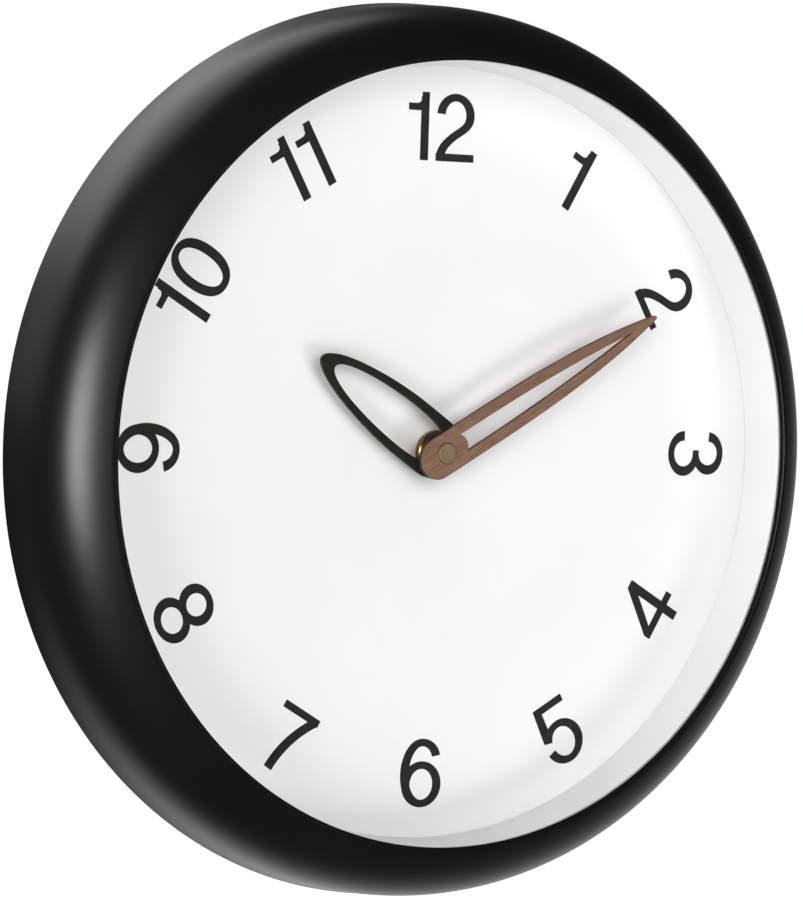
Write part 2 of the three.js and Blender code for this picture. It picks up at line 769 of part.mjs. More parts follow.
const COIL_Z = 23;
const COIL_X = 5;
const COIL_HALF = 9;
const POLE_W = 4; // how far the stator's poles reach past the coil
const STATOR = [14.4, 15.2];
function statorPlate() {
  const shape = new THREE.Shape();
  const left = COIL_X - COIL_HALF - POLE_W;
  const right = COIL_X + COIL_HALF + POLE_W;
  shape.moveTo(left, COIL_Z + 2);
  shape.lineTo(left, rotorZ - 4);
  shape.lineTo(right, rotorZ - 4);
  shape.lineTo(right, COIL_Z + 2);
  shape.lineTo(right - 3, COIL_Z + 2);
  shape.lineTo(right - 3, rotorZ + 4.5);
  shape.lineTo(left + 3, rotorZ + 4.5);
  shape.lineTo(left + 3, COIL_Z + 2);
  shape.closePath();
  shape.holes.push(circle(MAGNET_R + 0.4, rotorX, rotorZ, 20));
  return plate(shape, ...STATOR);
}
add("stator_plate", statorPlate(), STEEL, 0.4, 0.9);
add(
  "coil_core",
  block(
    COIL_X - COIL_HALF - POLE_W,
    COIL_X + COIL_HALF + POLE_W,
    STATOR[1] + 0.1,
    STATOR[1] + 0.8,
    COIL_Z - 1,
    COIL_Z + 1,
  ),
  STEEL,
  0.4,
  0.9,
);

// A round body of revolution laid along X, hollow for the core.
function alongX(points, x, y, z, sides = 16) {
  return turned(points, sides).rotateZ(-TAU / 4).translate(x, y, z);
}
const coilY = STATOR[1] + 0.45;
const coilBore = block(-THROUGH, THROUGH, STATOR[1], STATOR[1] + 0.9, COIL_Z - 1.1, COIL_Z + 1.1);
const FLANGE_R = 1.7;
const BOBBIN_R = 1.3;
const flangeIn = COIL_HALF - 0.8;
const bobbin = alongX(
  [
    [0, -COIL_HALF],
    [FLANGE_R, -COIL_HALF],
    [FLANGE_R, -flangeIn],
    [BOBBIN_R, -flangeIn],
    [BOBBIN_R, flangeIn],
    [FLANGE_R, flangeIn],
    [FLANGE_R, COIL_HALF],
    [0, COIL_HALF],
  ],
  COIL_X,
  coilY,
  COIL_Z,
);
add("coil_bobbin", cut(bobbin, coilBore), NYLON);
const windingEnd = COIL_HALF - 1;
const WINDING = [BOBBIN_R + 0.1, FLANGE_R - 0.05]; // inner and outer radius
add(
  "coil_winding",
  alongX(
    [
      [WINDING[0], -windingEnd],
      [WINDING[1], -windingEnd],
      [WINDING[1], windingEnd],
      [WINDING[0], windingEnd],
      [WINDING[0], -windingEnd],
    ],
    COIL_X,
    coilY,
    COIL_Z,
  ),
  0xb5562c,
  0.4,
  0.6,
);

const BOARD = [13.4, 14.2];
add("circuit_board", block(-25.5, -13.2, ...BOARD, 8, 25.5), 0x2f6b3a, 0.5);
add(
  "quartz_can",
  turned([[0, 0], [1, 0], [1, 6], [0, 6]], 16)
    .rotateX(Math.PI / 2)
    .translate(-16, BOARD[1] + 1.1, 18),
  STEEL,
  0.3,
  0.9,
);
add(
  "chip_blob",
  turned([[0, 0.1], [3, 0.1], [2.6, 0.8], [1.2, 1.3], [0, 1.4]], 20).translate(-20.5, BOARD[1], 13),
  0x151515,
  0.4,
);

// ---------------------------------------------------------------- movement case

const half = MOVE / 2;
const inner = half - MOVE_WALL;
const BAY_FLOOR = MOVE_FRONT + MOVE_WALL - 0.4;

function movementFront() {
  const tray = plate(roundedRect(-half, half, -half, half, 3), MOVE_FRONT, MOVE_SPLIT - 0.1, 6);
  const floor = MOVE_FRONT + MOVE_WALL;
  const wheels = block(-inner, inner, floor, THROUGH, BAY_TOP + 1, inner);
  const bay = block(-inner, inner, BAY_FLOOR, THROUGH, -inner, BAY_TOP);
  const hollow = cut(tray, wheels, bay);
  const posts = POSTS.map(([x, z]) => disc(1.8, floor - 0.2, BRIDGE_FRONT - 0.1, x, z, 16));
  const bearings = [...offAxisPivots, [knobX, knobZ]].map(([x, z]) =>
    disc(PIN_HOLE_R, 0, 10, x, z, 12),
  );
  return cut(join(hollow, ...posts), disc(STUD_R + 0.1, 0, 10, 0, 0, 24), ...bearings);
}
add("movement_front", movementFront(), 0x2a2a2c, 0.6);

function movementRear() {
  const lid = plate(roundedRect(-half, half, -half, half, 3), MOVE_SPLIT, MOVE_BACK, 6);
  const ceiling = MOVE_BACK - MOVE_WALL;
  const wheels = block(-inner, inner, 0, ceiling, BAY_TOP + 1, inner);
  const bay = block(-inner, inner, 0, THROUGH, -inner, BAY_TOP);
  const knobHole = disc(1.5, 10, THROUGH, knobX, knobZ, 16);
  return cut(lid, wheels, bay, knobHole);
}
add("movement_rear", movementRear(), 0x2a2a2c, 0.6);

// ---------------------------------------------------------------- battery and its contacts

const CELL_Y = BAY_FLOOR + 0.2 + CELL_R;
const CELL_X = 1.2; // set to the right by the minus contact's spring
const cellEnd = CELL_L / 2;
add(
  "battery_cell",
  alongX(
    [
      [0, -cellEnd],
      [CELL_R - 0.5, -cellEnd],
      [CELL_R, -cellEnd + 0.5],
      [CELL_R, cellEnd - 1.6],
      [CELL_R - 0.7, cellEnd - 1],
      [2.7, cellEnd - 1],
      [2.7, cellEnd],
      [0, cellEnd],
    ],
    CELL_X,
    CELL_Y,
    BAY_Z,
    24,
  ),
  0x3d5a6b,
  0.4,
  0.3,
);
add(
  "contact_plus",
  block(inner - 0.6, inner - 0.2, MOVE_FRONT + MOVE_WALL, 17, BAY_Z - 5, BAY_Z + 5),
  STEEL,
  0.3,
  0.9,
);
// The minus contact is a leaf folded back on itself so that it presses on the cell.
function minusContact() {
  const shape = new THREE.Shape();
  const x = -inner + 0.2;
  const bend = [
    [x, 4],
    [x + 0.35, 4],
    [x + 0.35, 15],
    [x + 0.5, 15.6],
    [CELL_X - cellEnd - 0.5, 11],
    [CELL_X - cellEnd - 0.2, 11],
    [x + 0.7, 16.2],
    [x, 16],
  ];
  bend.forEach(([u, v], i) => (i ? shape.lineTo(u, v) : shape.moveTo(u, v)));
  shape.closePath();
  const leafSpring = new THREE.ExtrudeGeometry(shape, { depth: 8, bevelEnabled: false });
  return leafSpring.translate(0, 0, BAY_Z - 4);
}
add("contact_minus", minusContact(), STEEL, 0.3, 0.9);

export default clock;
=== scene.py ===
import math

import bmesh
import bpy
from mathutils import Matrix, Vector
from mathutils.geometry import delaunay_2d_cdt


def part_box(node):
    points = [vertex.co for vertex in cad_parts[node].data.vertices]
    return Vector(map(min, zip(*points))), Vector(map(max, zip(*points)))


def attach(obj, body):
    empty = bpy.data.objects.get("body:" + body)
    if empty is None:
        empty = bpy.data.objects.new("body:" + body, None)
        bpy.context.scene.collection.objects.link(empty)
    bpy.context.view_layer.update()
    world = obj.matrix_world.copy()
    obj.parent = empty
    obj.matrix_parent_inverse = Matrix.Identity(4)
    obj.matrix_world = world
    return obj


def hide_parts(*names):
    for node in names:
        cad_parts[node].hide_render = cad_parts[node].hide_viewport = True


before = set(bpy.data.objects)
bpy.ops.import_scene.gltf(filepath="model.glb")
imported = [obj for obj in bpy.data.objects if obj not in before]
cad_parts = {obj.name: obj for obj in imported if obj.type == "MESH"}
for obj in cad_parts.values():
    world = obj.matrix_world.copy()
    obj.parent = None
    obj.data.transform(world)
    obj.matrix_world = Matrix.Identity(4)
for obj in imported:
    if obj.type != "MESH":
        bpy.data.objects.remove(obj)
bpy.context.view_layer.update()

MM = 0.001
TAU = 2 * math.pi
scene = bpy.context.scene
scene.view_settings.view_transform = "Standard"

# ---------------------------------------------------------------- camera

AZIMUTH = math.radians(-32.10)  # from the left of straight ahead
ELEVATION = math.radians(1.762)
ROLL = math.radians(1.866)
AIM = Vector((-0.01275, 0, 0.00072))
DISTANCE = 1.4128
LENS = 170.6


def make_camera():
    data = bpy.data.cameras.new("camera")
    data.sensor_width = 36
    data.lens = LENS
    data.clip_end = 50
    camera = bpy.data.objects.new("camera", data)
    scene.collection.objects.link(camera)
    level = math.cos(ELEVATION)
    back = Vector((math.sin(AZIMUTH) * level, -math.cos(AZIMUTH) * level, math.sin(ELEVATION)))
    side = Vector((0, 0, 1)).cross(back).normalized()
    up = back.cross(side)
    right = side * math.cos(ROLL) + up * math.sin(ROLL)
    top = up * math.cos(ROLL) - side * math.sin(ROLL)
    axes = Matrix((right, top, back)).transposed().to_4x4()
    camera.matrix_world = Matrix.Translation(AIM + back * DISTANCE) @ axes
    scene.camera = camera


make_camera()

# ---------------------------------------------------------------- materials


class Nodes:
    """A material's node tree, with short ways to add and link nodes."""

    def __init__(self, name):
        self.material = bpy.data.materials.new(name)
        self.material.use_nodes = True
        self.tree = self.material.node_tree
        self.tree.nodes.clear()
        self.output = self.tree.nodes.new("ShaderNodeOutputMaterial")

    def add(self, kind, **settings):
        node = self.tree.nodes.new("ShaderNode" + kind)
        for key, value in settings.items():
            setattr(node, key, value)
        return node

    def link(self, source, target):
        self.tree.links.new(source, target)

    def place(self, stretch=(1, 1, 1)):
        """The object's own coordinates, stretched."""
        coords = self.add("TexCoord")
        mapping = self.add("Mapping")
        mapping.inputs["Scale"].default_value = stretch
        self.link(coords.outputs["Object"], mapping.inputs["Vector"])
        return mapping.outputs["Vector"]

    def noise(self, scale, detail=3.0, roughness=0.5, stretch=(1, 1, 1), distortion=0.0):
        node = self.add("TexNoise")
        node.inputs["Scale"].default_value = scale
        node.inputs["Detail"].default_value = detail
        node.inputs["Roughness"].default_value = roughness
        node.inputs["Distortion"].default_value = distortion
        self.link(self.place(stretch), node.inputs["Vector"])
        return node.outputs["Fac"]

    def ramp(self, source, stops):
        """Colours or greys along a ramp: stops are (position, colour)."""
        node = self.add("ValToRGB")
        bands = node.color_ramp.elements
        while len(bands) < len(stops):
            bands.new(0.5)
        for band, (position, colour) in zip(bands, stops):
            band.position = position
            grey = (colour, colour, colour) if isinstance(colour, (int, float)) else colour
            band.color = (*grey, 1)
        self.link(source, node.inputs["Fac"])
        return node.outputs["Color"]

    def range(self, source, low, high, start=0.0, end=1.0):
        node = self.add("MapRange")
        for key, value in zip(("From Min", "From Max", "To Min", "To Max"), (start, end, low, high)):
            node.inputs[key].default_value = value
        self.link(source, node.inputs["Value"])
        return node.outputs["Result"]

    def math(self, operation, a, b=None):
        node = self.add("Math", operation=operation)
        for socket, value in zip(node.inputs, (a, b)):
            if isinstance(value, (int, float)):
                socket.default_value = value
            elif value is not None:
                self.link(value, socket)
        return node.outputs[0]

    def mix(self, factor, a, b, blend="MIX"):
        node = self.add("Mix", data_type="RGBA", blend_type=blend)
        for socket, value in zip((node.inputs[0], node.inputs[6], node.inputs[7]), (factor, a, b)):
            if isinstance(value, (int, float)):
                socket.default_value = value
            elif isinstance(value, tuple):
                socket.default_value = (*value, 1)
            else:
                self.link(value, socket)
        return node.outputs[2]

    def bump(self, height, strength, distance, below=None):
        node = self.add("Bump")
        node.inputs["Strength"].default_value = strength
        node.inputs["Distance"].default_value = distance
        self.link(height, node.inputs["Height"])
        if below is not None:
            self.link(below, node.inputs["Normal"])
        return node.outputs["Normal"]

    def facing(self, axis):
        """How far the surface faces along one of the object's own axes, from 0 to 1."""
        coords = self.add("TexCoord")
        split = self.add("SeparateXYZ")
        self.link(coords.outputs["Normal"], split.inputs[0])
        return self.math("ABSOLUTE", split.outputs[axis])

    def principled(self, color=None, roughness=None, normal=None, **fixed):
        node = self.add("BsdfPrincipled")
        for key, value in fixed.items():
            node.inputs[key.replace("_", " ")].default_value = value
        for key, value in (("Base Color", color), ("Roughness", roughness)):
            if isinstance(value, (int, float)):
                node.inputs[key].default_value = value
            elif isinstance(value, tuple):
                node.inputs[key].default_value = (*value, 1)
            elif value is not None:
                self.link(value, node.inputs[key])
        if normal is not None:
            self.link(normal, node.inputs["Normal"])
        self.link(node.outputs[0], self.output.inputs["Surface"])
        return self.material


def satin_black():
    n = Nodes("satin_black")
    broad = n.noise(14, 4)
    grain = n.noise(2600, 2, 0.6)
    color = n.ramp(broad, [(0.3, (0.0038, 0.0038, 0.0039)), (0.7, (0.0052, 0.0051, 0.0052))])
    rough = n.range(n.noise(60, 4, 0.6), 0.33, 0.37)
    return n.principled(color, rough, n.bump(grain, 0.10, 0.00003), Specular_IOR_Level=0.22)


def moulded(name, dark, light, low, high, grain=1800, depth=0.00004, strength=0.5):
    """Moulded plastic with a spark-eroded grain."""
    n = Nodes(name)
    color = n.ramp(n.noise(40, 4), [(0.3, dark), (0.7, light)])
    rough = n.range(n.noise(220, 3), low, high)
    height = n.noise(grain, 3, 0.65)
    return n.principled(color, rough, n.bump(height, strength, depth))


def matt_white(name, level, texture=1500):
    n = Nodes(name)
    dull = tuple(level * c for c in (0.985, 0.985, 0.985))
    full = tuple(level * c for c in (1.0, 1.0, 0.998))
    color = n.ramp(n.noise(25, 5), [(0.35, dull), (0.65, full)])
    rough = n.range(n.noise(300, 3), 0.5, 0.6)
    height = n.noise(texture, 3, 0.6)
    return n.principled(color, rough, n.bump(height, 0.15, 0.00003))


def ink():
    n = Nodes("dial_ink")
    color = n.ramp(n.noise(400, 4), [(0.3, (0.019, 0.019, 0.018)), (0.75, (0.026, 0.026, 0.0245))])
    height = n.noise(5000, 2)
    rough = n.range(n.noise(900, 3), 0.5, 0.65)
    return n.principled(color, rough, n.bump(height, 0.2, 0.00002), Specular_IOR_Level=0.08)


def clear_glass():
    """A clear pane: what is behind shows straight through, and the front face mirrors a little."""
    n = Nodes("clear_glass")
    through = n.add("BsdfTransparent")
    through.inputs["Color"].default_value = (0.992, 0.992, 0.993, 1)
    mirror = n.add("BsdfAnisotropic")
    mirror.inputs["Roughness"].default_value = 0.02
    fresnel = n.add("Fresnel")
    fresnel.inputs["IOR"].default_value = 1.3
    geometry = n.add("NewGeometry")
    front = n.math("SUBTRACT", 1.0, geometry.outputs["Backfacing"])
    blend = n.add("MixShader")
    n.link(n.math("MULTIPLY", fresnel.outputs[0], front), blend.inputs[0])
    n.link(through.outputs[0], blend.inputs[1])
    n.link(mirror.outputs[0], blend.inputs[2])
    n.link(blend.outputs[0], n.output.inputs["Surface"])
    return n.material


def walnut():
    """Oiled walnut, its grain along the hand, with cut edges burnt dark."""
    n = Nodes("walnut")
    flow = n.noise(120, 4, 0.6, (1, 1, 0.10), 0.8)
    fibre = n.noise(1500, 4, 0.7, (1, 1, 0.06), 0.3)
    pores = n.noise(2600, 2, 0.5, (1, 1, 0.12))
    browns = [(0.28, (0.150, 0.076, 0.042)), (0.5, (0.215, 0.118, 0.071)), (0.72, (0.280, 0.162, 0.103))]
    color = n.mix(0.6, n.ramp(flow, browns), n.ramp(fibre, browns))
    pore = n.ramp(pores, [(0.33, 0.0), (0.42, 1.0)])
    color = n.mix(pore, (0.120, 0.062, 0.036), color)
    edge = n.ramp(n.facing("Y"), [(0.55, 0.0), (0.95, 1.0)])
    color = n.mix(edge, (0.030, 0.017, 0.012), color)
    rough = n.range(fibre, 0.5, 0.72)
    normal = n.bump(fibre, 0.5, 0.00006, n.bump(pore, 0.35, 0.00005))
    return n.principled(color, rough, normal, Specular_IOR_Level=0.35)


def black_wood():
    """Black-stained wood: open grain on the face, and brown where the cut edge shows."""
    n = Nodes("black_wood")
    fibre = n.noise(850, 4, 0.7, (1, 1, 0.035), 0.3)
    color = n.ramp(fibre, [(0.3, (0.010, 0.010, 0.0095)), (0.7, (0.020, 0.019, 0.017))])
    edge = n.ramp(n.facing("Y"), [(0.35, 0.0), (0.8, 1.0)])
    cut_edge = n.ramp(n.noise(700, 3), [(0.3, (0.020, 0.013, 0.010)), (0.7, (0.060, 0.036, 0.026))])
    color = n.mix(edge, cut_edge, color)
    rough = n.range(fibre, 0.5, 0.68)
    return n.principled(color, rough, n.bump(fibre, 0.5, 0.00006), Specular_IOR_Level=0.15)


def brass(name, bright, dull, low, high):
    """Brass, or another coloured metal, with patches of tarnish."""
    n = Nodes(name)
    color = n.ramp(n.noise(260, 5, 0.6), [(0.3, dull), (0.7, bright)])
    return n.principled(color, n.range(n.noise(1200, 3), low, high), None, Metallic=1.0)


RING_WAVES = 42000.0  # how fast the turning marks follow each other, in radians per metre


def faced_brass(name, bright, dull, low, high):
    """Dull brass with fine turning marks round the Y axis, which spread its reflections."""
    n = Nodes(name)
    color = n.ramp(n.noise(260, 5, 0.6), [(0.3, dull), (0.7, bright)])
    rough = n.range(n.noise(1200, 3), low, high)
    coords = n.add("TexCoord")
    split = n.add("SeparateXYZ")
    n.link(coords.outputs["Object"], split.inputs[0])
    squares = [n.math("POWER", split.outputs[axis], 2.0) for axis in ("X", "Z")]
    radius = n.math("SQRT", n.math("ADD", *squares))
    rings = n.math("SINE", n.math("MULTIPLY", radius, RING_WAVES))
    normal = n.bump(rings, 0.5, 0.00001)
    n.principled(color, rough, normal, Metallic=0.45, Anisotropic=0.7)
    tangent = n.add("Tangent", direction_type="RADIAL", axis="Y")
    n.link(tangent.outputs[0], n.tree.nodes["Principled BSDF"].inputs["Tangent"])
    return n.material


def steel(name="zinc_steel", tint=(0.60, 0.61, 0.62)):
    n = Nodes(name)
    dull = tuple(c * 0.72 for c in tint)
    color = n.ramp(n.noise(500, 5, 0.65), [(0.35, dull), (0.7, tint)])
    scratch = n.noise(2200, 3, 0.6, (1, 1, 0.08))
    rough = n.range(scratch, 0.28, 0.5)
    return n.principled(color, rough, n.bump(scratch, 0.3, 0.00002), Metallic=1.0)


def rubber():
    n = Nodes("pad_rubber")
    color = n.ramp(n.noise(900, 4), [(0.3, (0.018, 0.018, 0.018)), (0.7, (0.035, 0.035, 0.035))])
    return n.principled(color, n.range(n.noise(1500, 3), 0.75, 0.95), n.bump(n.noise(2500, 3), 0.5, 0.00006))


def cell_jacket():
    """A foil jacket: a dark body with a copper-coloured band at the plus end and bare steel ends."""
    n = Nodes("cell_jacket")
    coords = n.add("TexCoord")
    split = n.add("SeparateXYZ")
    n.link(coords.outputs["Object"], split.inputs[0])
    along = n.range(split.outputs["Y"], 0.0, 1.0, -CELL_L / 2 * MM, CELL_L / 2 * MM)
    bands = [(0.0, (0.55, 0.55, 0.56)), (0.012, (0.02, 0.045, 0.07)), (0.74, (0.62, 0.27, 0.10))]
    ramp = n.ramp(along, bands + [(0.967, (0.55, 0.55, 0.56))])
    ramp.node.color_ramp.interpolation = "CONSTANT"
    scuff = n.ramp(n.noise(700, 5, 0.7), [(0.35, 0.75), (0.65, 1.0)])
    color = n.mix(1.0, ramp, scuff, "MULTIPLY")
    return n.principled(color, n.range(n.noise(900, 4), 0.22, 0.38), None, Metallic=0.55)


CELL_L = 49.5
CELL_R = 7.1
SATIN_BLACK = satin_black()
COVER = moulded("cover_grain", (0.016, 0.016, 0.0165), (0.024, 0.024, 0.0245), 0.55, 0.7, 900, 0.0001)
MOVEMENT = moulded("movement_grain", (0.020, 0.020, 0.021), (0.032, 0.032, 0.033), 0.5, 0.65)
NYLON = moulded("nylon", (0.66, 0.64, 0.57), (0.76, 0.74, 0.67), 0.4, 0.55, 1200, 0.00002, 0.3)
DIAL_WHITE = matt_white("dial_paint", 0.90)
STRIP_WHITE = matt_white("strip_white", 0.80, 900)
INK = ink()
GLASS = clear_glass()
WALNUT = walnut()
BLACK_WOOD = black_wood()
NUT_BRASS = brass("nut_brass", (0.26, 0.155, 0.055), (0.10, 0.058, 0.022), 0.24, 0.34)
CAP_BRASS = faced_brass("cap_brass", (0.40, 0.29, 0.165), (0.30, 0.215, 0.125), 0.30, 0.42)
BUSH_BRASS = brass("bush_brass", (0.66, 0.46, 0.20), (0.45, 0.30, 0.12), 0.3, 0.45)
COPPER = brass("copper_wire", (0.70, 0.28, 0.12), (0.45, 0.16, 0.06), 0.25, 0.4)
STEEL = steel()
CAN = steel("can_metal", (0.72, 0.73, 0.75))
MAGNET = moulded("rotor_magnet", (0.05, 0.05, 0.055), (0.09, 0.09, 0.095), 0.45, 0.6)
BOARD = moulded("board_green", (0.015, 0.085, 0.035), (0.025, 0.12, 0.05), 0.3, 0.4, 600, 0.00001, 0.2)
CHIP = moulded("chip_epoxy", (0.006, 0.006, 0.006), (0.012, 0.012, 0.012), 0.2, 0.35)
RUBBER = rubber()

# ---------------------------------------------------------------- mesh helpers


def finish_mesh(name, verts, faces, material, sharp=35):
    """A closed smooth-shaded piece from points in metres."""
    mesh = bpy.data.meshes.new(name)
    mesh.from_pydata([tuple(v) for v in verts], [], faces)
    tidy = bmesh.new()
    tidy.from_mesh(mesh)
    bmesh.ops.remove_doubles(tidy, verts=tidy.verts, dist=1e-7)
    bmesh.ops.recalc_face_normals(tidy, faces=tidy.faces)
    tidy.to_mesh(mesh)
    tidy.free()
    mesh.shade_smooth()
    mesh.set_sharp_from_angle(angle=math.radians(sharp))
    piece = bpy.data.objects.new(name, mesh)
    scene.collection.objects.link(piece)
    mesh.materials.append(material)
    return piece


def rounded(points, radius, steps=4, closed=True):
    """The same outline with each corner turned into a small arc. A point's own third value,
    if it has one, is its radius."""
    out = []
    count = len(points)
    for i, point in enumerate(points):
        here = Vector(point[:2])
        size = point[2] if len(point) > 2 else radius
        if size <= 0 or (not closed and i in (0, count - 1)):
            out.append(here)
            continue
        before = Vector(points[i - 1][:2])
        after = Vector(points[(i + 1) % count][:2])
        reach = min(size, (before - here).length / 2, (after - here).length / 2)
        start = here + (before - here).normalized() * reach
        end = here + (after - here).normalized() * reach
        for k in range(steps + 1):
            t = k / steps
            out.append(start * (1 - t) ** 2 + here * 2 * t * (1 - t) + end * t * t)
    return out


def lathe(name, points, material, sides=96, at=(0, 0), sharp=35):
    """A body of revolution about the line through at, along Y. points are (radius, y) in mm;
    they either close on themselves or start and end on the axis."""
    verts = []
    rings = []
    for r, y in points:
        if r < 1e-6:
            rings.append([len(verts)])
            verts.append(Vector((at[0], y, at[1])) * MM)
            continue
        rings.append(list(range(len(verts), len(verts) + sides)))
        for k in range(sides):
            a = TAU * k / sides
            verts.append(Vector((at[0] + r * math.cos(a), y, at[1] + r * math.sin(a))) * MM)
    faces = []
    open_ended = len(rings[0]) == 1 and len(rings[-1]) == 1
    pairs = zip(rings, rings[1:] if open_ended else rings[1:] + rings[:1])
    for one, two in pairs:
        for k in range(sides):
            m = (k + 1) % sides
            corners = [one[k % len(one)], one[m % len(one)], two[m % len(two)], two[k % len(two)]]
            face = list(dict.fromkeys(corners))
            if len(face) > 2:
                faces.append(face)
    return finish_mesh(name, verts, faces, material, sharp)


def slab(name, outlines, front, back, material, bevel=0.2, steps=2, angle=0.0, sharp=35):
    """A flat plate cut to the outlines, the first one outside and the others its holes, as
    lists of (across, up) in mm, from y = front to y = back. It is turned clockwise by angle."""
    curve = bpy.data.curves.new(name, "CURVE")
    curve.dimensions = "2D"
    curve.fill_mode = "BOTH"
    curve.extrude = (back - front) / 2 - bevel
    curve.bevel_depth = bevel
    curve.bevel_resolution = steps
    curve.offset = -bevel
    for outline in outlines:
        spline = curve.splines.new("POLY")
        spline.points.add(len(outline) - 1)
        for point, (x, z) in zip(spline.points, outline):
            point.co = (x, z, 0, 1)
        spline.use_cyclic_u = True
    maker = bpy.data.objects.new(name + ".curve", curve)
    scene.collection.objects.link(maker)
    made = bpy.data.meshes.new_from_object(maker.evaluated_get(bpy.context.evaluated_depsgraph_get()))
    bpy.data.objects.remove(maker)
    stand = Matrix.Scale(MM, 4) @ Matrix.Translation((0, (front + back) / 2, 0))
    stand = stand @ Matrix.Rotation(TAU / 4, 4, "X")
    verts = [stand @ v.co for v in made.vertices]
    faces = [list(p.vertices) for p in made.polygons]
    piece = finish_mesh(name, verts, faces, material, sharp)
    piece.matrix_world = Matrix.Rotation(angle, 4, "Y")
    return piece


def circle(r, x=0.0, z=0.0, count=64):
    return [(x + r * math.cos(TAU * k / count), z + r * math.sin(TAU * k / count)) for k in range(count)]


def arc(cx, cz, rx, rz, start, end, count=24):
    """Points on an ellipse's arc, angles in degrees counter-clockwise from the right."""
    turns = [math.radians(start + (end - start) * k / count) for k in range(count + 1)]
    return [(cx + rx * math.cos(a), cz + rz * math.sin(a)) for a in turns]


def bezier(p0, p1, p2, p3, count=24):
    points = []
    for k in range(count + 1):
        t = k / count
        weights = ((1 - t) ** 3, 3 * t * (1 - t) ** 2, 3 * t * t * (1 - t), t**3)
        points.append(tuple(sum(w * p[i] for w, p in zip(weights, (p0, p1, p2, p3))) for i in (0, 1)))
    return points


def rounded_rect(x0, x1, z0, z1, r, count=8):
    corners = [(x1 - r, z0 + r, -90), (x1 - r, z1 - r, 0), (x0 + r, z1 - r, 90), (x0 + r, z0 + r, 180)]
    return [p for x, z, a in corners for p in arc(x, z, r, r, a, a + 90, count)]


def keep(piece, body, slot, *nodes):
    """Says what the piece moves with and which CAD nodes it stands for, and hides those nodes. The slot
    argument is not used.
    """
    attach(piece, body)
    if nodes:
        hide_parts(*nodes)
    return piece


# ---------------------------------------------------------------- case

CASE_R = 150
HALF_DEPTH = 20.2
LIP_R = 130.9
LIP_IN_R = 129.5
WALL = 3
COLLAR_R = 131.1
COLLAR_OUT = 133.9
COLLAR_PLAY = 0.3  # between the collar's rear edge and the dial
REAR_ROUND = 0.5
GLASS_R = 130.8
GLASS_FRONT = -19.4
GLASS_T = 1.2
GLASS_PLAY = 0.1


SHOULDER = (21.5, 10.6)  # out and back from the lip to the curve's first handle
WAIST = (2.6, 5)  # in from the rim, and how far behind the dial, to its second handle


def outer_wall(inset, count):
    """The case's outer curve from lip to wall, or one parallel to it, inset towards the inside."""
    return bezier(
        (LIP_R, -HALF_DEPTH + inset * 1.6),
        (LIP_R + SHOULDER[0] - inset, -HALF_DEPTH + SHOULDER[1] + inset * 0.9),
        (CASE_R - WAIST[0] - inset, WAIST[1]),
        (CASE_R - inset, HALF_DEPTH),
        count,
    )


def make_case():
    outside = outer_wall(0, 56)
    inside = [p for p in reversed(outer_wall(WALL, 24)) if p[0] > COLLAR_OUT + 1]
    lip = arc(LIP_R, -HALF_DEPTH + 0.45, 0.5, 0.45, 205, 270, 6)
    rear_edge = rounded([outside[-2], (*outside[-1], REAR_ROUND), inside[0]], REAR_ROUND, 4, False)
    seat = GLASS_FRONT - GLASS_PLAY
    profile = [(LIP_IN_R, seat), (LIP_IN_R, seat - 0.15), *lip, *outside[1:-1], *rear_edge[1:-1]]
    profile += [*inside, (COLLAR_OUT, inside[-1][1] + 1), (COLLAR_OUT, -COLLAR_PLAY)]
    profile += [(COLLAR_R, -COLLAR_PLAY), (COLLAR_R, seat)]
    rim = lathe("case", profile, SATIN_BLACK, 288, sharp=50)
    return keep(rim, "case", "case_black", "case_rim")


make_case()


def make_glass():
    back = GLASS_FRONT + GLASS_T
    corners = [(0, GLASS_FRONT), (GLASS_R, GLASS_FRONT), (GLASS_R, back), (0, back)]
    glass = lathe("glass", rounded(corners, 0.2, 3, False), GLASS, 192)
    return keep(glass, "case", "clear_glass", "glass_lens")


make_glass()

STRIP_FRONT = GLASS_FRONT + GLASS_T + GLASS_PLAY
STRIP_OUT = 130.3
STRIP_GAP = 0.12  # half of the hairline between its two ends


def make_strip():
    """The white band between glass and dial. Its two ends butt at 12 with a hairline gap."""
    corners = [(129.35, STRIP_FRONT), (STRIP_OUT, STRIP_FRONT), (STRIP_OUT, -0.05), (128.5, -0.05)]
    section = rounded(corners, 0.12, 2)
    sides = 288
    gap = STRIP_GAP / 129
    verts = []
    for k in range(sides + 1):
        a = TAU / 4 + gap + (TAU - 2 * gap) * k / sides
        verts += [Vector((r * math.cos(a), y, r * math.sin(a))) * MM for r, y in section]
    size = len(section)
    faces = [list(range(size)), list(range(sides * size, (sides + 1) * size))]
    for k in range(sides):
        for i in range(size):
            j = (i + 1) % size
            faces.append([k * size + i, k * size + j, (k + 1) * size + j, (k + 1) * size + i])
    strip = finish_mesh("inner_strip", verts, faces, STRIP_WHITE)
    return keep(strip, "case", "strip_white", "inner_ring")


make_strip()

DIAL_R = 138.2
DIAL_T = 1.5
DIAL_HOLE = 4.3
DIAL_SECTION = [(DIAL_HOLE, 0), (DIAL_R, 0), (DIAL_R, DIAL_T), (DIAL_HOLE, DIAL_T)]
dial = lathe("dial", rounded(DIAL_SECTION, 0.1, 2), DIAL_WHITE, 192)
keep(dial, "case", "dial_white", "dial_plate")

# ---------------------------------------------------------------- dial numbers

NUMBER_H = 22.6  # height of a figure
NUMBER_R = 107.46  # from the hand axis to the middle of a number
PEN_X = 0.074  # half of an upright stroke, as a share of the height
PEN_Z = 0.0565  # half of a level stroke
INK_T = 0.03


